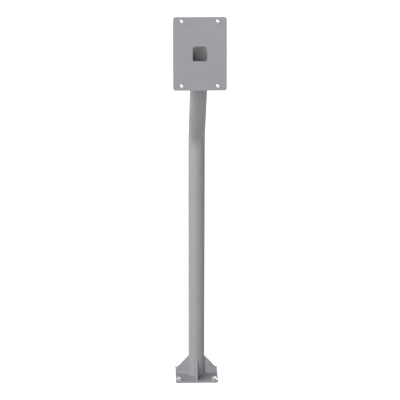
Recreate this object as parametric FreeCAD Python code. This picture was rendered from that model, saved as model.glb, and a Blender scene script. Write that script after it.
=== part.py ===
import FreeCAD, Part

import math
import os

# Gate intercom post: a bent steel tube on a stiffened base plate, with a face plate at its head.
# Millimetres. Origin: the centre of the base plate's underside. +Z is up, and the face plate looks to -Y.

# Tube
tube_outer = 60.3  # outer diameter
tube_wall = 3.65
neck_lean = 45.0  # degrees that the neck leans forward from upright
neck_reach = 376.0  # from the upright's axis forward to the centre of the face plate's front
corner_height = 937.0  # from the ground to where the axes of the upright and the neck cross
bend_radius = 115.0  # at the tube's axis

# Base plate
base_side = 160.0
base_thickness = 8.0
base_corner = 8.0  # corner radius
cable_hole = 48.0  # diameter, under the tube

# Gussets
gusset_thickness = 6.0
gusset_height = 71.0  # along the tube
gusset_toe = 19.0  # height of its outer end
gusset_inset = 1.0  # from its outer end to the base plate's edge

# Face plate
face_width = 179.0
face_height = 244.0
face_thickness = 5.0
face_corner = 8.0  # corner radius
face_tilt = 5.0  # degrees that it looks up
window_side = 48.0
window_corner = 6.0  # corner radius
edge_break = 0.7  # chamfer round the plates' outlines

# Weld beads
foot_weld = 4.0  # leg length
head_weld = 4.0
weld_step = 0.3  # how far the head bead's inner rim stands off the tube
bead_sides = 36  # flats round the head bead

# Anchor bolts and washers
anchor_inset = 16.0  # from the bolts' axes to the base plate's edges
anchor_diameter = 10.0
anchor_across = 17.0  # across the head's flats
anchor_head = 6.4  # head height
anchor_washer = 27.0  # washer diameter
anchor_washer_thickness = 2.0
anchor_turn = 30.0  # degrees that the heads are turned: a corner looks forward
anchor_lift = 0.5  # from the ground to the end of the shank

# Face screws and nuts
screw_inset_x = 29.5  # from the screws' axes to the face plate's side edges
screw_inset_y = 15.0  # to its top and bottom edges
screw_diameter = 8.0
screw_head = 14.0  # diameter of the domed head
screw_dome = 4.4  # head height
screw_rim = 1.4  # upright rim under the dome
screw_shoulder = 1.6  # how far the dome draws in on its lower slope
screw_crown = 0.8  # rise of its upper slope
screw_flat = 5.2  # diameter of its flat top
nut_across = 13.0
nut_height = 6.5
screw_tail = 3.0  # thread past the nut

# Hexagon heads and nuts
hexagon_chamfer = 30.0  # degrees that the corners' chamfer slopes
chamfer_sides = 12  # flats round the chamfer

# Clearances
hole_clearance = 1.0  # a hole's diameter over its bolt's
nut_clearance = 0.2  # a nut's bore over the thread

X = FreeCAD.Vector(1, 0, 0)
Z = FreeCAD.Vector(0, 0, 1)
ORIGIN = FreeCAD.Vector(0, 0, 0)

tube_radius = tube_outer / 2
bore_radius = tube_radius - tube_wall
lean = math.radians(neck_lean)
face_centre = FreeCAD.Vector(0, -neck_reach, corner_height + neck_reach / math.tan(lean))
# The face plate's own frame has x to the right, y up the plate and z out of its front.
face_frame = FreeCAD.Placement(face_centre, FreeCAD.Rotation(X, 90 - face_tilt))
# The angle between the neck's axis and the face plate's normal.
incidence = math.radians(90 - neck_lean - face_tilt)
gusset_reach = base_side / 2 - gusset_inset

# The tube's axis: the upright, the bend and the neck, which is drawn past the face plate and cut there.
tangent = bend_radius * math.tan(lean / 2)
forward = FreeCAD.Vector(0, -math.sin(lean), math.cos(lean))
corner = FreeCAD.Vector(0, 0, corner_height)
foot = FreeCAD.Vector(0, 0, base_thickness)
bend_start = corner - Z * tangent
bend_middle = bend_start + FreeCAD.Vector(0, math.cos(lean / 2) - 1, math.sin(lean / 2)) * bend_radius
bend_end = corner + forward * tangent
neck_end = corner + forward * (neck_reach / math.sin(lean) + 2 * tube_outer)
upright_axis = Part.LineSegment(foot, bend_start).toShape()
bend_axis = Part.Arc(bend_start, bend_middle, bend_end).toShape()
neck_axis = Part.LineSegment(bend_end, neck_end).toShape()


def write(shape, name):
    """Save one sub-part under its own name."""
    shape.exportStep("parts/" + name + ".step")


def cylinder(radius, low, high, x=0.0, y=0.0):
    """An upright cylinder between two heights."""
    return Part.makeCylinder(radius, high - low, FreeCAD.Vector(x, y, low), Z)


def prism(points, direction):
    """A polygon swept straight along a direction."""
    return Part.Face(Part.makePolygon(points + points[:1])).extrude(direction)


def revolved(outline):
    """A closed outline of (radius, height) points turned round Z."""
    points = [FreeCAD.Vector(radius, 0, height) for radius, height in outline]
    return Part.Face(Part.makePolygon(points + points[:1])).revolve(ORIGIN, Z, 360)


def rounded_prism(width, depth, corner, low, high):
    """A rectangular block centred on Z, with its upright edges rounded."""
    block = Part.makeBox(width, depth, high - low, FreeCAD.Vector(-width / 2, -depth / 2, low))
    uprights = [edge for edge in block.Edges if edge.BoundBox.ZLength > (high - low) / 2]
    return block.makeFillet(corner, uprights)


def rounded_slab(width, depth, corner, low, high):
    """A rounded plate whose two outlines have broken edges."""
    slab = rounded_prism(width, depth, corner, low, high)
    outlines = [edge for edge in slab.Edges if edge.BoundBox.ZLength < edge_break]
    return slab.makeChamfer(edge_break, outlines)


def polygon(sides, across, height, turn=0.0):
    """A regular polygon's corners at one height, from its width across flats; turn is in degrees."""
    radius = across / 2 / math.cos(math.pi / sides)
    angles = [math.radians(turn + 360 * side / sides) for side in range(sides)]
    return [FreeCAD.Vector(radius * math.cos(a), radius * math.sin(a), height) for a in angles]


def hexagon(across, height):
    """A hexagonal prism standing on Z = 0, its corners chamfered at its upper end."""
    corners = 2 * across / math.sqrt(3)
    drop = (corners - across) / 2 * math.tan(math.radians(hexagon_chamfer))
    half_step = 180 / chamfer_sides
    rings = [polygon(chamfer_sides, corners, 0, half_step),
             polygon(chamfer_sides, corners, height - drop, half_step),
             polygon(chamfer_sides, across, height, half_step)]
    wires = [Part.makePolygon(ring + ring[:1]) for ring in rings]
    return prism(polygon(6, across, 0), Z * height).common(Part.makeLoft(wires, True, True))


def washer(outer, bore, thickness):
    """A flat washer lying on Z = 0."""
    return cylinder(outer / 2, 0, thickness).cut(cylinder(bore / 2, 0, thickness))


def corners_of(width, depth, inset_x, inset_y, low, high):
    """The places at a plate's four corners, by name: low and high name its nearer and farther edge."""
    x = width / 2 - inset_x
    y = depth / 2 - inset_y
    return {low + "_left": (-x, -y), low + "_right": (x, -y),
            high + "_left": (-x, y), high + "_right": (x, y)}


anchor_places = corners_of(base_side, base_side, anchor_inset, anchor_inset, "front", "rear")
face_places = corners_of(face_width, face_height, screw_inset_x, screw_inset_y, "lower", "upper")


def swept(radius, start, direction, edges):
    """A round bar along a run of the tube's axis."""
    section = Part.Face(Part.Wire(Part.makeCircle(radius, start, direction)))
    return Part.Wire(edges).makePipe(section)


def hollow(start, direction, edges):
    """The tube along a run of its axis, cut flush with the back of the face plate."""
    outside = swept(tube_radius, start, direction, edges)
    inside = swept(bore_radius, start, direction, edges)
    return outside.cut(inside).cut(beyond_face(face_thickness))


def beyond_face(depth):
    """All the space in front of a plane that lies this far behind the face plate's front."""
    size = face_height + neck_reach
    block = Part.makeBox(2 * size, 2 * size, size, FreeCAD.Vector(-size, -size, -depth))
    block.Placement = face_frame
    return block


tube_body = swept(tube_radius, foot, Z, [upright_axis, bend_axis, neck_axis])


def base_plate():
    """A square plate with the cable hole and four anchor holes."""
    plate = rounded_slab(base_side, base_side, base_corner, 0, base_thickness)
    plate = plate.cut(cylinder(cable_hole / 2, 0, base_thickness))
    for x, y in anchor_places.values():
        plate = plate.cut(cylinder((anchor_diameter + hole_clearance) / 2, 0, base_thickness, x, y))
    return plate


def gusset():
    """The right-hand stiffener: upright at the tube, sloping down to a low outer toe, edges broken."""
    front = -gusset_thickness / 2
    low = base_thickness
    inner = bore_radius
    outline = [(inner, low), (gusset_reach, low), (gusset_reach, low + gusset_toe),
               (tube_radius, low + gusset_height), (inner, low + gusset_height)]
    sheet = prism([FreeCAD.Vector(x, front, z) for x, z in outline], FreeCAD.Vector(0, gusset_thickness, 0))
    sides = [edge for edge in sheet.Edges
             if edge.BoundBox.YLength < edge_break and edge.BoundBox.XMax > tube_radius + edge_break
             and edge.BoundBox.ZMax > low + edge_break]
    return sheet.makeChamfer(edge_break, sides).cut(tube_body)


def foot_bead():
    """The weld in the quarter between the right and the rear gusset: round the tube's foot, along both
    gussets' feet and up the two corners that they make with the tube."""
    side = gusset_thickness / 2
    low = base_thickness
    ring = revolved([(bore_radius, low), (tube_radius + foot_weld, low), (tube_radius, low + foot_weld),
                     (bore_radius, low + foot_weld)])
    quarter = Part.makeBox(base_side, base_side, base_side, FreeCAD.Vector(side, side, 0))
    slope = (gusset_height - gusset_toe) / (gusset_reach - tube_radius)
    climb = gusset_height - foot_weld * (1 + slope)
    run = gusset_reach - foot_weld - bore_radius
    along = prism([FreeCAD.Vector(bore_radius, side, low), FreeCAD.Vector(bore_radius, side + foot_weld, low),
                   FreeCAD.Vector(bore_radius, side, low + foot_weld)], X * run)
    up = prism([FreeCAD.Vector(bore_radius, side, low), FreeCAD.Vector(tube_radius + foot_weld, side, low),
                FreeCAD.Vector(bore_radius, side + 2 * foot_weld, low)], Z * climb)
    bead = ring.common(quarter)
    for piece in (along, up):
        bead = bead.fuse(piece).fuse(piece.mirror(ORIGIN, FreeCAD.Vector(1, -1, 0)))
    return bead.cut(tube_body).removeSplitter()


def head_bead():
    """The weld between the slanted tube and the back of the face plate: an oval skirt round the tube."""
    def oval(depth, widen_x, widen_y):
        wide = tube_radius + widen_x
        tall = tube_radius / math.cos(incidence) + widen_y
        middle = -depth * math.tan(incidence)
        angles = [2 * math.pi * step / bead_sides for step in range(bead_sides)]
        points = [FreeCAD.Vector(wide * math.cos(a), middle + tall * math.sin(a), -depth) for a in angles]
        return Part.makePolygon(points + points[:1])

    root = oval(face_thickness, head_weld, head_weld)
    rim = oval(face_thickness + head_weld, weld_step, weld_step / math.cos(incidence))
    skirt = Part.makeLoft([root, rim], True, True)
    skirt.Placement = face_frame
    return skirt.cut(tube_body)


def face_plate():
    """A thin plate with a rounded square window into the tube and four screw holes."""
    plate = rounded_slab(face_width, face_height, face_corner, -face_thickness, 0)
    plate = plate.cut(rounded_prism(window_side, window_side, window_corner, -face_thickness, 0))
    for x, y in face_places.values():
        plate = plate.cut(cylinder((screw_diameter + hole_clearance) / 2, -face_thickness, 0, x, y))
    plate.Placement = face_frame
    return plate


def anchor_bolt():
    """A hexagon bolt whose head's seat is at Z = 0."""
    seat = base_thickness + anchor_washer_thickness
    head = hexagon(anchor_across, anchor_head)
    head.rotate(ORIGIN, Z, anchor_turn)
    return head.fuse(cylinder(anchor_diameter / 2, anchor_lift - seat, 0))


def face_screw():
    """A domed screw whose head's seat is at Z = 0, with a thread long enough for its nut."""
    radius = screw_head / 2
    length = face_thickness + nut_height + screw_tail
    head = revolved([(0, 0), (radius, 0), (radius, screw_rim),
                     (radius - screw_shoulder, screw_dome - screw_crown),
                     (screw_flat / 2, screw_dome), (0, screw_dome)])
    return head.fuse(cylinder(screw_diameter / 2, -length, 0))


def face_nut():
    """A hexagon nut whose seat is at Z = 0, hanging below it."""
    bore = (screw_diameter + nut_clearance) / 2
    nut = hexagon(nut_across, nut_height).cut(cylinder(bore, 0, nut_height))
    nut.rotate(ORIGIN, X, 180)
    return nut


def placed(shape, x, y, z, frame=FreeCAD.Placement()):
    """A copy moved to its place in a frame."""
    copy = shape.copy()
    copy.translate(FreeCAD.Vector(x, y, z))
    copy.Placement = frame.multiply(copy.Placement)
    return copy


os.makedirs("parts", exist_ok=True)

# One bent tube, in two lengths that meet where the bend ends.
write(hollow(foot, Z, [upright_axis, bend_axis]), "post_tube")
write(hollow(bend_end, forward, [neck_axis]), "post_neck")
write(base_plate(), "base_plate")
write(face_plate(), "face_plate")
write(head_bead(), "head_weld")

stiffener = gusset()
bead = foot_bead()
beads = []
for quarter_turn, side in enumerate(["right", "rear", "left", "front"]):
    turned = stiffener.copy()
    turned.rotate(ORIGIN, Z, 90 * quarter_turn)
    write(turned, "gusset_" + side)
    turned = bead.copy()
    turned.rotate(ORIGIN, Z, 90 * quarter_turn)
    beads.append(turned)
write(Part.makeCompound(beads), "foot_welds")

bolt = anchor_bolt()
bolt_washer = washer(anchor_washer, anchor_diameter + hole_clearance, anchor_washer_thickness)
bolt_washers = []
for name, (x, y) in anchor_places.items():
    bolt_washers.append(placed(bolt_washer, x, y, base_thickness))
    write(placed(bolt, x, y, base_thickness + anchor_washer_thickness), "anchor_bolt_" + name)
write(Part.makeCompound(bolt_washers), "anchor_washers")

screw = face_screw()
nut = face_nut()
screws = []
for name, (x, y) in face_places.items():
    screws.append(placed(screw, x, y, 0, face_frame))
    write(placed(nut, x, y, -face_thickness, face_frame), "face_nut_" + name)
write(Part.makeCompound(screws), "face_screws")
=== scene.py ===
import math
import random

import bmesh
import bpy
from mathutils import Matrix, Vector


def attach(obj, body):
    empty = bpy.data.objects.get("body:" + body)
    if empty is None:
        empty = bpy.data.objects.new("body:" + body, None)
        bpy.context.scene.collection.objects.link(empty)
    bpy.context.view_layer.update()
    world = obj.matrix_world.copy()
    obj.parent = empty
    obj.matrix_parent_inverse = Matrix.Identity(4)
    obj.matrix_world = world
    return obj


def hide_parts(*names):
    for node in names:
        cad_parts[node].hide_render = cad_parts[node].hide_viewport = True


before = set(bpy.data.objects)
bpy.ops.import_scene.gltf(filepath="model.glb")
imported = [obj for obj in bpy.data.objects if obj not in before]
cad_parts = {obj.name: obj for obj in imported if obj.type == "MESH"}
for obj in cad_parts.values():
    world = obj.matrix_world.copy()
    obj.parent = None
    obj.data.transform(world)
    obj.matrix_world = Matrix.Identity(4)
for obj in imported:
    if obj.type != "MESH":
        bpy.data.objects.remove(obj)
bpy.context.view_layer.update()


# Camera
# It stands nearly five metres in front of the post, above head height, and looks down a little.
# Its long lens and small shift put the post where the picture has it. All sizes are in metres.

camera_place = (-0.13966, -4.90368, 2.14441)
camera_tilt = math.radians(73.509)
camera_turn = math.radians(-1.375)

bpy.ops.object.select_all(action="DESELECT")
bpy.ops.object.camera_add(location=camera_place, rotation=(camera_tilt, 0, camera_turn))
camera = bpy.context.object
camera.name = "camera"
camera.data.sensor_width = 36
camera.data.lens = 124.53
camera.data.shift_x = 0.02345
camera.data.shift_y = 0.0040
bpy.context.scene.camera = camera


# Studio
# A pale floor under a pale sky, and four large soft lamps: one beside the camera, two to its left
# and one behind the post. Seen directly or in a reflection, floor and sky are white, but they
# light the post only a little.

white = (1, 1, 1, 1)
sky_light = 0.05
floor_side = 80
floor_light = 0.352
floor_glow = 0.97
shadow_grey = (0.45, 0.45, 0.45, 1)
lamp_aim = Vector((0, -0.15, 0.75))
lamp_distance = 10.0
lamp_size = 3.0


def node(tree, kind, sockets=(), **settings):
    """Adds a node; each of its sockets gets a value or another node's output."""
    made = tree.nodes.new(kind)
    for name, value in settings.items():
        setattr(made, name, value)
    for name, value in dict(sockets).items():
        if isinstance(value, bpy.types.NodeSocket):
            tree.links.new(value, made.inputs[name])
        else:
            made.inputs[name].default_value = value
    return made


def either(tree, first, second):
    """The larger of two masks."""
    return node(tree, "ShaderNodeMath", {0: first, 1: second}, operation="MAXIMUM").outputs[0]


def seen_directly(tree):
    """1 for what the camera, a reflection or a clear body sees, 0 for light on a surface."""
    path = node(tree, "ShaderNodeLightPath").outputs
    seen = either(tree, path["Is Camera Ray"], path["Is Glossy Ray"])
    return either(tree, seen, path["Is Transmission Ray"])


sky = bpy.data.worlds.new("studio_sky")
sky.use_nodes = True
tree = sky.node_tree
tree.nodes.clear()
brightness = node(tree, "ShaderNodeMix", {"Factor": seen_directly(tree), "A": sky_light, "B": 1.0})
backdrop = node(tree, "ShaderNodeBackground",
                {"Color": white, "Strength": brightness.outputs["Result"]})
node(tree, "ShaderNodeOutputWorld", {"Surface": backdrop.outputs[0]})
bpy.context.scene.world = sky
bpy.context.scene.view_settings.view_transform = "Standard"

bpy.ops.mesh.primitive_plane_add(size=floor_side)
floor = bpy.context.object
floor.name = "floor"
floor_paint = bpy.data.materials.new("studio_floor")
floor_paint.use_nodes = True
floor_paint.cycles.emission_sampling = "NONE"
tree = floor_paint.node_tree
tree.nodes.clear()
lit_floor = node(tree, "ShaderNodeEmission", {"Color": white, "Strength": floor_light})
faint_shadow = node(tree, "ShaderNodeBsdfDiffuse", {"Color": shadow_grey})
glow = node(tree, "ShaderNodeEmission", {"Color": white, "Strength": floor_glow})
white_floor = node(tree, "ShaderNodeAddShader", {0: faint_shadow.outputs[0], 1: glow.outputs[0]})
surface = node(tree, "ShaderNodeMixShader",
               {0: seen_directly(tree), 1: lit_floor.outputs[0], 2: white_floor.outputs[0]})
node(tree, "ShaderNodeOutputMaterial", {"Surface": surface.outputs[0]})
floor.data.materials.append(floor_paint)


def soft_lamp(name, bearing, height, strength):
    """A square lamp aimed at the post, placed by two angles: leftwards from the front, and up.

    Its strength is how bright it makes a white surface that faces it.
    """
    turn = math.radians(bearing)
    rise = math.radians(height)
    away = Vector((-math.sin(turn) * math.cos(rise), -math.cos(turn) * math.cos(rise),
                   math.sin(rise)))
    bpy.ops.object.light_add(type="AREA", location=lamp_aim + away * lamp_distance)
    lamp = bpy.context.object
    lamp.name = name
    lamp.rotation_euler = (-away).to_track_quat("-Z", "Y").to_euler()
    lamp.data.size = lamp_size
    lamp.data.energy = strength * math.pi ** 2 * lamp_distance ** 2
    lamp.visible_camera = False


soft_lamp("lamp_front", bearing=8, height=16, strength=0.358)
soft_lamp("lamp_front_left", bearing=32, height=34, strength=0.379)
soft_lamp("lamp_left", bearing=80, height=42, strength=0.399)
soft_lamp("lamp_behind", bearing=180, height=8, strength=0.45)


# Post tube
# One round steel tube, upright, bent once and led forward to the back of the face plate, where it
# is cut slanted and flush. Like all the welded steel here it is powder coated light grey.

tube_radius = 0.03015
tube_wall = 0.00365
foot_height = 0.008  # the top of the base plate
corner_height = 0.937  # where the middle lines of upright and neck would cross
bend_radius = 0.115
neck_lean = math.radians(45)
neck_reach = 0.376  # from the upright's middle line to the front of the face plate
face_tilt = math.radians(5)
face_thickness = 0.005
same_point = 0.00001  # points nearer to each other than this become one

face_centre = Vector((0, -neck_reach, corner_height + neck_reach / math.tan(neck_lean)))
face_place = (Matrix.Translation(face_centre)
              @ Matrix.Rotation(math.pi / 2 - face_tilt, 4, "X"))
face_normal = (face_place.to_3x3() @ Vector((0, 0, 1))).normalized()


def node_group(name, inputs, outputs):
    """An empty node group, and the outputs of its input node."""
    group = bpy.data.node_groups.new(name, "ShaderNodeTree")
    for in_out, sockets in (("INPUT", inputs), ("OUTPUT", outputs)):
        for socket, kind in sockets.items():
            group.interface.new_socket(socket, in_out=in_out, socket_type="NodeSocket" + kind)
    return group, node(group, "NodeGroupInput").outputs


def noise(tree, scale, detail):
    """A cloudy pattern that stays with the piece."""
    place = node(tree, "ShaderNodeTexCoord").outputs["Object"]
    return node(tree, "ShaderNodeTexNoise",
                {"Vector": place, "Scale": scale, "Detail": detail}).outputs["Fac"]


def spread(tree, pattern, low, high, new_low=0.0, new_high=1.0):
    """Spreads what a pattern has between low and high over a new range."""
    return node(tree, "ShaderNodeMapRange",
                {"Value": pattern, "From Min": low, "From Max": high,
                 "To Min": new_low, "To Max": new_high}).outputs["Result"]


def between(tree, first, second, share):
    """A colour between two others. The Mix node's colour sockets go by number."""
    return node(tree, "ShaderNodeMix", {0: share, 6: first, 7: second}, data_type="RGBA").outputs[2]


def powder_coat_group():
    """Powder coat: tones that stray a little, patches of more and less gloss, and orange peel."""
    group, given = node_group(
        "powder_coat",
        {"Dark": "Color", "Light": "Color", "Cloud Scale": "Float", "Peel Scale": "Float",
         "Smooth": "Float", "Dull": "Float"},
        {"Colour": "Color", "Roughness": "Float", "Height": "Float"})
    clouds = noise(group, given["Cloud Scale"], detail=4.0)
    peel = noise(group, given["Peel Scale"], detail=2.0)
    specks = noise(group, scale=900.0, detail=1.0)
    tone = spread(group, clouds, 0.3, 0.7)
    speck = spread(group, specks, 0.35, 0.65, -0.25, 0.25)
    speckled = node(group, "ShaderNodeMath", {0: tone, 1: speck}, operation="ADD", use_clamp=True)
    node(group, "NodeGroupOutput", {
        "Colour": between(group, given["Dark"], given["Light"], speckled.outputs[0]),
        "Roughness": spread(group, peel, 0.3, 0.7, given["Smooth"], given["Dull"]),
        "Height": peel})
    return group


def coated_steel(name, coat, coat_values, bump, depth, shader_values):
    """A steel surface whose colour, gloss and relief come from a coat's node group."""
    material = bpy.data.materials.new(name)
    material.use_nodes = True
    tree = material.node_tree
    shader = tree.nodes["Principled BSDF"]
    skin = node(tree, "ShaderNodeGroup", node_tree=coat)
    for socket, value in coat_values.items():
        skin.inputs[socket].default_value = value
    relief = node(tree, "ShaderNodeBump",
                  {"Height": skin.outputs["Height"], "Strength": bump, "Distance": depth})
    tree.links.new(skin.outputs["Colour"], shader.inputs["Base Color"])
    tree.links.new(skin.outputs["Roughness"], shader.inputs["Roughness"])
    tree.links.new(relief.outputs["Normal"], shader.inputs["Normal"])
    for socket, value in shader_values.items():
        shader.inputs[socket].default_value = value
    return material


powder_coat = powder_coat_group()


def painted_steel(name, dark, light, clouds=7.0, peel=420.0, peel_depth=0.00012):
    """Powder coated steel in given tones, set per piece partly as painted light and shade; clouds
    and peel say how fine its patterns are.
    """
    coat_values = {"Dark": dark, "Light": light, "Cloud Scale": clouds, "Peel Scale": peel,
                   "Smooth": 0.46, "Dull": 0.58}
    return coated_steel(name, powder_coat, coat_values, bump=0.5, depth=peel_depth,
                        shader_values={"Specular IOR Level": 0.4})


def choose(*pieces):
    """Selects these pieces alone and makes the first one active."""
    bpy.ops.object.select_all(action="DESELECT")
    for piece in pieces:
        piece.select_set(True)
    bpy.context.view_layer.objects.active = pieces[0]


def settle():
    """Moves the place, turn and size of what is selected into its mesh."""
    bpy.ops.object.transform_apply(location=True, rotation=True, scale=True)


def edit(piece, element, action="DESELECT"):
    """Opens one piece in edit mode to pick vertices, edges or faces."""
    choose(piece)
    bpy.ops.object.mode_set(mode="EDIT")
    bpy.ops.mesh.select_mode(type=element)
    bpy.ops.mesh.select_all(action=action)


def close():
    """Leaves edit mode."""
    bpy.ops.object.mode_set(mode="OBJECT")


def close_outward():
    """Turns all faces of the piece being edited outwards and leaves edit mode."""
    bpy.ops.mesh.select_all(action="SELECT")
    bpy.ops.mesh.normals_make_consistent(inside=False)
    close()


def pick_edges(wanted):
    """Selects those edges of the piece being edited that are wanted."""
    mesh = bpy.context.edit_object.data
    shape = bmesh.from_edit_mesh(mesh)
    for edge in shape.edges:
        if wanted(edge):
            edge.select_set(True)
    shape.select_flush_mode()
    bmesh.update_edit_mesh(mesh)


def extrude(offset):
    """Extrudes what is selected and moves it."""
    bpy.ops.mesh.extrude_region_move(TRANSFORM_OT_translate={"value": tuple(offset)})


def modify(piece, kind, **settings):
    """Adds a modifier to a piece and applies it."""
    modifier = piece.modifiers.new(kind.lower(), kind)
    for name, value in settings.items():
        setattr(modifier, name, value)
    choose(piece)
    bpy.ops.object.modifier_apply(modifier=modifier.name)


def finish_piece(piece, name, material, nodes, smooth=35):
    """Settles a piece at its place, shades it, and lets it stand for its solids."""
    choose(piece)
    settle()
    bpy.ops.object.shade_smooth_by_angle(angle=math.radians(smooth))
    piece.name = name
    piece.data.name = name
    piece.data.materials.clear()
    piece.data.materials.append(material)
    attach(piece, "root")
    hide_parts(*nodes)


# Painted light: the same grey powder coat as the plates, set a lighter tone on the tube so that it
# reads as more brightly lit.
tube_paint = painted_steel("tube_paint", (0.369, 0.367, 0.380, 1), (0.397, 0.396, 0.409, 1),
                           clouds=9.0)
bend_leg = bend_radius * math.tan(neck_lean / 2)  # from either end of the bend to the crossing
bend_start = corner_height - bend_leg
neck_length = neck_reach / math.sin(neck_lean) - bend_leg
neck_spare = 2 * tube_radius  # cut off again, slanted
forward = Vector((0, -math.sin(neck_lean), math.cos(neck_lean)))

bpy.ops.mesh.primitive_circle_add(vertices=96, radius=tube_radius, fill_type="NOTHING",
                                  location=(0, 0, foot_height))
tube = bpy.context.object
settle()
edit(tube, "EDGE", "SELECT")
extrude((0, 0, bend_start - foot_height))
bpy.ops.mesh.spin(steps=24, angle=neck_lean, axis=(-1, 0, 0), center=(0, -bend_radius, bend_start))
extrude(forward * (neck_length + neck_spare))
bpy.ops.mesh.select_all(action="SELECT")
bpy.ops.mesh.remove_doubles(threshold=same_point)
close_outward()
lowest = min(tube.data.polygons, key=lambda face: face.center.z)
if lowest.normal.xy.dot(lowest.center.xy) < 0:
    edit(tube, "FACE", "SELECT")
    bpy.ops.mesh.flip_normals()
    close()
modify(tube, "SOLIDIFY", thickness=tube_wall, offset=-1, use_even_offset=True)
edit(tube, "EDGE", "SELECT")
bpy.ops.mesh.bisect(plane_co=face_centre - face_normal * face_thickness, plane_no=face_normal,
                    clear_outer=True)
bpy.ops.mesh.select_all(action="DESELECT")
pick_edges(lambda edge: edge.is_boundary)
bpy.ops.mesh.bridge_edge_loops()
close_outward()
finish_piece(tube, "gooseneck_tube", tube_paint, ["post_tube", "post_neck"])


# Base plate
# A square of 8 mm plate with rounded corners, welded under the tube. It has an anchor hole in each
# corner and, under the tube, a hole for the cable.

base_side = 0.160
base_corner = 0.008
base_edge = 0.0008
cable_hole = 0.024
anchor_place = 0.064  # sideways and forward or back from the middle
anchor_hole = 0.0055


def plate_blank(width, depth, low, high, corner):
    """A flat plate with rounded corners, lying level."""
    bpy.ops.mesh.primitive_cube_add(size=1, location=(0, 0, (low + high) / 2),
                                    scale=(width, depth, high - low))
    blank = bpy.context.object
    settle()
    edit(blank, "EDGE")
    pick_edges(lambda edge: abs(edge.verts[0].co.z - edge.verts[1].co.z) > (high - low) / 2)
    bpy.ops.mesh.bevel(offset=corner, segments=8, affect="EDGES")
    close()
    return blank


def cut_out(piece, cutter, operation="DIFFERENCE"):
    """Cuts one solid with another, which is used up."""
    modify(piece, "BOOLEAN", object=cutter, operation=operation, solver="EXACT")
    bpy.data.objects.remove(cutter)


def drill(piece, radius, x=0, y=0, sides=48, reach=0.05):
    """Drills a round hole down through a piece."""
    bpy.ops.mesh.primitive_cylinder_add(vertices=sides, radius=radius, depth=2 * reach,
                                        location=(x, y, 0))
    cut_out(piece, bpy.context.object)


def break_edges(piece, width, segments=3):
    """Rounds the sharp edges and keeps the flats flat in their shading."""
    modify(piece, "BEVEL", width=width, segments=segments, limit_method="ANGLE",
           angle_limit=math.radians(40), use_clamp_overlap=False)
    bpy.ops.object.shade_smooth_by_angle(angle=math.radians(50))
    modify(piece, "WEIGHTED_NORMAL", keep_sharp=True, weight=80)


# Painted shade: the same grey powder coat as the tube and gussets, set a darker tone on the base
# plate so that its top reads as less lit.
plate_paint = painted_steel("plate_paint", (0.310, 0.305, 0.329, 1), (0.334, 0.329, 0.355, 1))

base = plate_blank(base_side, base_side, 0, foot_height, base_corner)
drill(base, cable_hole, sides=96)
for x in (-anchor_place, anchor_place):
    for y in (-anchor_place, anchor_place):
        drill(base, anchor_hole, x, y)
break_edges(base, base_edge)
finish_piece(base, "base_flange", plate_paint, ["base_plate"], smooth=50)


# Gussets
# Four 6 mm stiffeners between the tube and the base plate: 71 mm up the tube, sloping down to a
# 19 mm toe. All four are cut to one pattern.

gusset_thickness = 0.006
gusset_height = 0.071
gusset_toe = 0.019
gusset_end = 0.079
gusset_root = 0.028  # inside the tube's wall
gusset_edge = 0.0009


def copies_at(piece, places):
    """A copy of a piece, with its own mesh, at each place. The pattern itself is used up."""
    made = []
    for place in places:
        copy = piece.copy()
        copy.data = piece.data.copy()
        bpy.context.collection.objects.link(copy)
        copy.matrix_world = place
        made.append(copy)
    bpy.data.objects.remove(piece)
    return made


# Painted light: the same grey powder coat as the base plate, set a lighter tone on the gussets so
# that their faces read as more brightly lit.
gusset_paint = painted_steel("gusset_paint", (0.375, 0.371, 0.399, 1), (0.404, 0.399, 0.430, 1))

bpy.ops.mesh.primitive_cube_add(
    size=1, location=((gusset_root + gusset_end) / 2, 0, foot_height + gusset_height / 2),
    scale=(gusset_end - gusset_root, gusset_thickness, gusset_height))
gusset = bpy.context.object
settle()
edit(gusset, "FACE", "SELECT")
bpy.ops.mesh.bisect(plane_co=(tube_radius, 0, foot_height + gusset_height),
                    plane_no=(gusset_height - gusset_toe, 0, gusset_end - tube_radius),
                    use_fill=True, clear_outer=True)
close()
break_edges(gusset, gusset_edge)

quarter_turns = [Matrix.Rotation(quarter * math.pi / 2, 4, "Z") for quarter in range(4)]
stiffeners = copies_at(gusset, quarter_turns)
for side, stiffener in zip(("right", "rear", "left", "front"), stiffeners):
    finish_piece(stiffener, "stiffener_" + side, gusset_paint, ["gusset_" + side],
                 smooth=50)


# Foot welds
# Weld beads laid by hand: round the tube's foot, along both feet of every gusset and up the
# corners that the gussets make with the tube. Each is a row of ripples under the paint.

bead_reach = 0.0034  # from the corner to the bead's edge
ripple_half = 0.0017  # half a ripple's length along the bead
ripple_step = 0.0019
ripple_least = 0.95
ripple_most = 1.04
bead_grain = 0.0007
weld_below_top = 0.009
weld_before_end = 0.007
corner_depth = 0.0002  # the upright runs lie this far inside the tube's face


def join(pieces):
    """One piece of several."""
    choose(*pieces)
    bpy.ops.object.join()
    return pieces[0]


def lay_bead(name, spots, reach, nodes):
    """Lays a ripple at each spot, a place and a direction of travel, and melts them together."""
    bpy.ops.mesh.primitive_uv_sphere_add(segments=12, ring_count=8, radius=1)
    ripple = bpy.context.object
    edit(ripple, "VERT", "SELECT")
    bpy.ops.transform.resize(value=(ripple_half / reach, 1, 1))
    close()
    places = []
    for place, travel in spots:
        grown = reach * random.uniform(ripple_least, ripple_most)
        heading = travel.to_track_quat("X", "Z").to_matrix().to_4x4()
        places.append(Matrix.Translation(place) @ heading @ Matrix.Scale(grown, 4))
    bead = join(copies_at(ripple, places))
    settle()
    modify(bead, "REMESH", mode="VOXEL", voxel_size=bead_grain)
    modify(bead, "SMOOTH", factor=0.5, iterations=2)
    finish_piece(bead, name, weld_paint, nodes, smooth=80)


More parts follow.
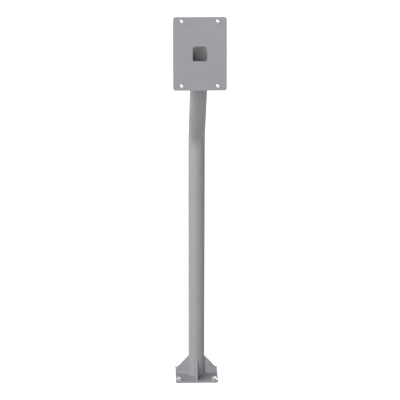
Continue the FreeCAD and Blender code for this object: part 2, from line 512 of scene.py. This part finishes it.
def straight(start, end):
    """Spots along a straight run."""
    start = Vector(start)
    run = Vector(end) - start
    count = round(run.length / ripple_step)
    return [(start + run * (step / count), run.normalized()) for step in range(count + 1)]


weld_paint = painted_steel("weld_paint", (0.305, 0.302, 0.318, 1), (0.345, 0.341, 0.360, 1),
                           clouds=60.0, peel=500.0, peel_depth=0.0002)
random.seed(7)

foot = Vector((0, 0, foot_height))
corner_line = tube_radius - corner_depth
weld_top = foot_height + gusset_height - weld_below_top
weld_end = gusset_end - weld_before_end
quarter_spots = []
count = round(tube_radius * math.pi / 2 / ripple_step)
for step in range(count):
    angle = (step + 0.5) / count * math.pi / 2
    outward = Vector((math.cos(angle), math.sin(angle), 0))
    along = Vector((-math.sin(angle), math.cos(angle), 0))
    quarter_spots.append((outward * tube_radius + foot, along))
for side in (-gusset_thickness / 2, gusset_thickness / 2):
    quarter_spots += straight((tube_radius, side, foot_height), (weld_end, side, foot_height))
    quarter_spots += straight((corner_line, side, foot_height), (corner_line, side, weld_top))
spots = []
for quarter in range(4):
    turn = Matrix.Rotation(quarter * math.pi / 2, 3, "Z")
    spots += [(turn @ place, turn @ travel) for place, travel in quarter_spots]
lay_bead("foot_weld_beads", spots, bead_reach, ["foot_welds"])


# Face plate
# A 5 mm plate, 179 by 244 mm, that looks forward and a little up. Behind the square window opens
# the tube. It has a screw hole near each corner.

face_width = 0.179
face_height = 0.244
face_corner = 0.008
face_edge = 0.0007
window_side = 0.048
window_corner = 0.006
window_cut = 0.02  # the cutter's reach to either side of the front
screw_x = 0.060
screw_y = 0.107
screw_hole = 0.0045
screw_spots = {"lower_left": (-screw_x, -screw_y), "lower_right": (screw_x, -screw_y),
               "upper_left": (-screw_x, screw_y), "upper_right": (screw_x, screw_y)}

# Painted shade: the same grey powder coat as the tube and gussets, set a darker tone on the face
# plate so that it reads as less lit.
face_paint = painted_steel("face_paint", (0.307, 0.300, 0.328, 1), (0.331, 0.327, 0.355, 1))

face = plate_blank(face_width, face_height, -face_thickness, 0, face_corner)
cut_out(face, plate_blank(window_side, window_side, -window_cut, window_cut, window_corner))
for x, y in screw_spots.values():
    drill(face, screw_hole, x, y)
break_edges(face, face_edge)
face.matrix_world = face_place
finish_piece(face, "head_plate", face_paint, ["face_plate"], smooth=50)


# Head weld
# One bead laid by hand all round the oval where the slanted end of the tube meets the back of the
# face plate, rippled and painted like the welds at the foot.

head_bead_reach = 0.0032
fine_steps = 2000

incidence = math.pi / 2 - neck_lean - face_tilt  # between the neck and the plate's normal
oval_tall = tube_radius / math.cos(incidence)
oval_middle = -face_thickness * math.tan(incidence)
trail = []
for step in range(fine_steps + 1):
    angle = 2 * math.pi * step / fine_steps
    trail.append(Vector((tube_radius * math.cos(angle),
                         oval_middle + oval_tall * math.sin(angle), -face_thickness)))
lengths = [0.0]
for before, after in zip(trail, trail[1:]):
    lengths.append(lengths[-1] + (after - before).length)
count = round(lengths[-1] / ripple_step)
spots = []
for step in range(count):
    wanted = lengths[-1] * step / count
    index = next(i for i, length in enumerate(lengths) if length >= wanted)
    travel = face_place.to_3x3() @ (trail[(index + 1) % fine_steps] - trail[index])
    spots.append((face_place @ trail[index], travel.normalized()))
lay_bead("head_weld_bead", spots, head_bead_reach, ["head_weld"])


# Anchor washers
# Four flat steel washers, bright zinc plated, one under the head of each anchor bolt on the base
# plate. They are punched from sheet, so their edges are only just rounded.

washer_radius = 0.0135
washer_hole = 0.0055
washer_thickness = 0.002
washer_edge = 0.0004
anchor_spots = {"front_left": (-anchor_place, -anchor_place),
                "front_right": (anchor_place, -anchor_place),
                "rear_left": (-anchor_place, anchor_place),
                "rear_right": (anchor_place, anchor_place)}


def zinc_plate_group():
    """Zinc plate: faint cool and warm clouds and patches that are a little duller."""
    group, given = node_group(
        "zinc_plate",
        {"Cool": "Color", "Warm": "Color", "Smooth": "Float", "Dull": "Float"},
        {"Colour": "Color", "Roughness": "Float", "Height": "Float"})
    clouds = noise(group, scale=160.0, detail=3.0)
    tone = spread(group, clouds, 0.35, 0.65)
    node(group, "NodeGroupOutput", {
        "Colour": between(group, given["Cool"], given["Warm"], tone),
        "Roughness": spread(group, clouds, 0.35, 0.65, given["Smooth"], given["Dull"]),
        "Height": noise(group, scale=1400.0, detail=2.0)})
    return group


def turned(outline, sides=48):
    """A solid turned on a lathe round Z, from (radius, height) points."""
    radius, height = outline[0]
    bpy.ops.mesh.primitive_circle_add(vertices=sides, radius=radius, fill_type="NGON",
                                      location=(0, 0, height))
    solid = bpy.context.object
    settle()
    edit(solid, "FACE", "SELECT")
    for next_radius, next_height in outline[1:]:
        extrude((0, 0, next_height - height))
        ratio = next_radius / radius
        bpy.ops.transform.resize(value=(ratio, ratio, 1), center_override=(0, 0, next_height))
        radius, height = next_radius, next_height
    close_outward()
    return solid


zinc_tones = {"Cool": (0.42, 0.43, 0.455, 1), "Warm": (0.52, 0.515, 0.505, 1),
              "Smooth": 0.20, "Dull": 0.36}
bright_zinc = coated_steel("bright_zinc", zinc_plate_group(), zinc_tones, bump=0.4, depth=0.00004,
                           shader_values={"Metallic": 1.0})

washer = turned([(washer_radius, 0), (washer_radius, washer_thickness)])
drill(washer, washer_hole)
break_edges(washer, washer_edge, segments=2)
washers = copies_at(washer, [Matrix.Translation((x, y, foot_height))
                             for x, y in anchor_spots.values()])
finish_piece(join(washers), "base_washers", bright_zinc, ["anchor_washers"],
             smooth=50)


# Anchor bolts
# Four M10 hexagon bolts, bright zinc plated: a forged head with its corners chamfered all round,
# and a shank down through the base plate.

bolt_across = 0.017
bolt_height = 0.0064
bolt_radius = 0.005
bolt_tip_radius = 0.0045
bolt_tip = 0.0005  # above the underside of the base plate
bolt_tip_end = 0.0012
into_head = 0.0005  # the shank's upper end, hidden in the head
head_edge = 0.0003


def hexagon_head(across, height, turn=0):
    """A hexagon on Z = 0, its upper corners cut by a cone. Unturned, a corner looks forward."""
    corners = across / math.sqrt(3)
    bpy.ops.mesh.primitive_cylinder_add(vertices=6, radius=corners, depth=height,
                                        location=(0, 0, height / 2),
                                        rotation=(0, 0, math.radians(turn)))
    head = bpy.context.object
    settle()
    cone_foot = corners * 1.02
    cone_top = across / 2 * 0.97
    cone_height = (cone_foot - cone_top) * math.tan(math.radians(30))
    cone = turned([(cone_foot, -0.001), (cone_foot, height - cone_height), (cone_top, height)],
                  sides=96)
    cut_out(head, cone, operation="INTERSECT")
    return head


bolt = hexagon_head(bolt_across, bolt_height)
break_edges(bolt, head_edge, segments=2)
seat = foot_height + washer_thickness
shank = turned([(bolt_tip_radius, bolt_tip - seat), (bolt_radius, bolt_tip_end - seat),
                (bolt_radius, into_head)])
bolts = copies_at(join([bolt, shank]), [Matrix.Translation((x, y, seat))
                                        for x, y in anchor_spots.values()])
for corner, bolt in zip(anchor_spots, bolts):
    finish_piece(bolt, "hex_bolt_" + corner, bright_zinc,
                 ["anchor_bolt_" + corner])


# Face screws
# Four M8 button head screws, bright zinc plated, with a hexagon socket. The heads lie on the front
# of the plate, and the threads show past the nuts behind it.

head_radius = 0.007
head_seat_radius = 0.0064
head_seat_round = 0.0005
dome_start = 0.0014
dome_rise = 0.003
dome_top_radius = 0.0024
socket_radius = 0.0029
socket_depth = 0.0025
shank_radius = 0.0033
shank_tip_radius = 0.0027
shank_tip_height = 0.0006
plain_radius = 0.004
under_head = 0.0002  # the shank's upper end, hidden in the head
nut_height = 0.0065
past_nut = 0.003
thread_pitch = 0.00125
thread_middle = 0.0034  # from the screw's middle line to the middle of its ridge
thread_size = 0.00075
thread_start = 0.0009  # above the tip

dome_top = dome_start + dome_rise
dome_reach = head_radius - dome_top_radius
dome = []
for lift in range(0, 90, 10):
    rise = math.radians(lift)
    dome.append((dome_top_radius + dome_reach * math.cos(rise),
                 dome_start + dome_rise * math.sin(rise)))
head = turned([(head_seat_radius, 0), (head_radius, head_seat_round)] + dome
              + [(dome_top_radius, dome_top)])
bpy.ops.mesh.primitive_cylinder_add(vertices=6, radius=socket_radius, depth=2 * socket_depth,
                                    location=(0, 0, dome_top))
cut_out(head, bpy.context.object)
edit(head, "VERT", "SELECT")
bpy.ops.mesh.remove_doubles(threshold=same_point)
close()

tip = -face_thickness - nut_height - past_nut
shank = turned([(shank_tip_radius, tip), (shank_radius, tip + shank_tip_height),
                (shank_radius, under_head)], sides=32)
plain = turned([(plain_radius, -face_thickness), (plain_radius, under_head)], sides=32)

bpy.ops.mesh.primitive_circle_add(vertices=3, radius=thread_size, fill_type="NOTHING",
                                  location=(thread_middle, 0, tip + thread_start),
                                  rotation=(math.pi / 2, 0, 0))
thread = bpy.context.object
settle()
modify(thread, "SCREW", axis="Z", angle=2 * math.pi, screw_offset=thread_pitch, iterations=5,
       steps=24, render_steps=24, use_merge_vertices=True, use_normal_calculate=True)
edit(thread, "EDGE")
pick_edges(lambda edge: edge.is_boundary)
bpy.ops.mesh.edge_face_add()
close_outward()

screw = join([head, shank, plain, thread])
screws = copies_at(screw, [face_place @ Matrix.Translation((x, y, 0))
                           for x, y in screw_spots.values()])
finish_piece(join(screws), "button_screws", bright_zinc, ["face_screws"])


# Face nuts
# Four M8 hexagon nuts, bright zinc plated, run up against the back of the face plate. Their
# chamfered corners point away from it.

nut_across = 0.013
nut_bore = 0.0039

nut = hexagon_head(nut_across, nut_height, turn=30)
drill(nut, nut_bore, sides=32)
break_edges(nut, head_edge, segments=2)
turn_over = Matrix.Rotation(math.pi, 4, "X")
nuts = copies_at(nut, [face_place @ Matrix.Translation((x, y, -face_thickness)) @ turn_over
                       for x, y in screw_spots.values()])
for corner, nut in zip(screw_spots, nuts):
    finish_piece(nut, "hex_nut_" + corner, bright_zinc, ["face_nut_" + corner])
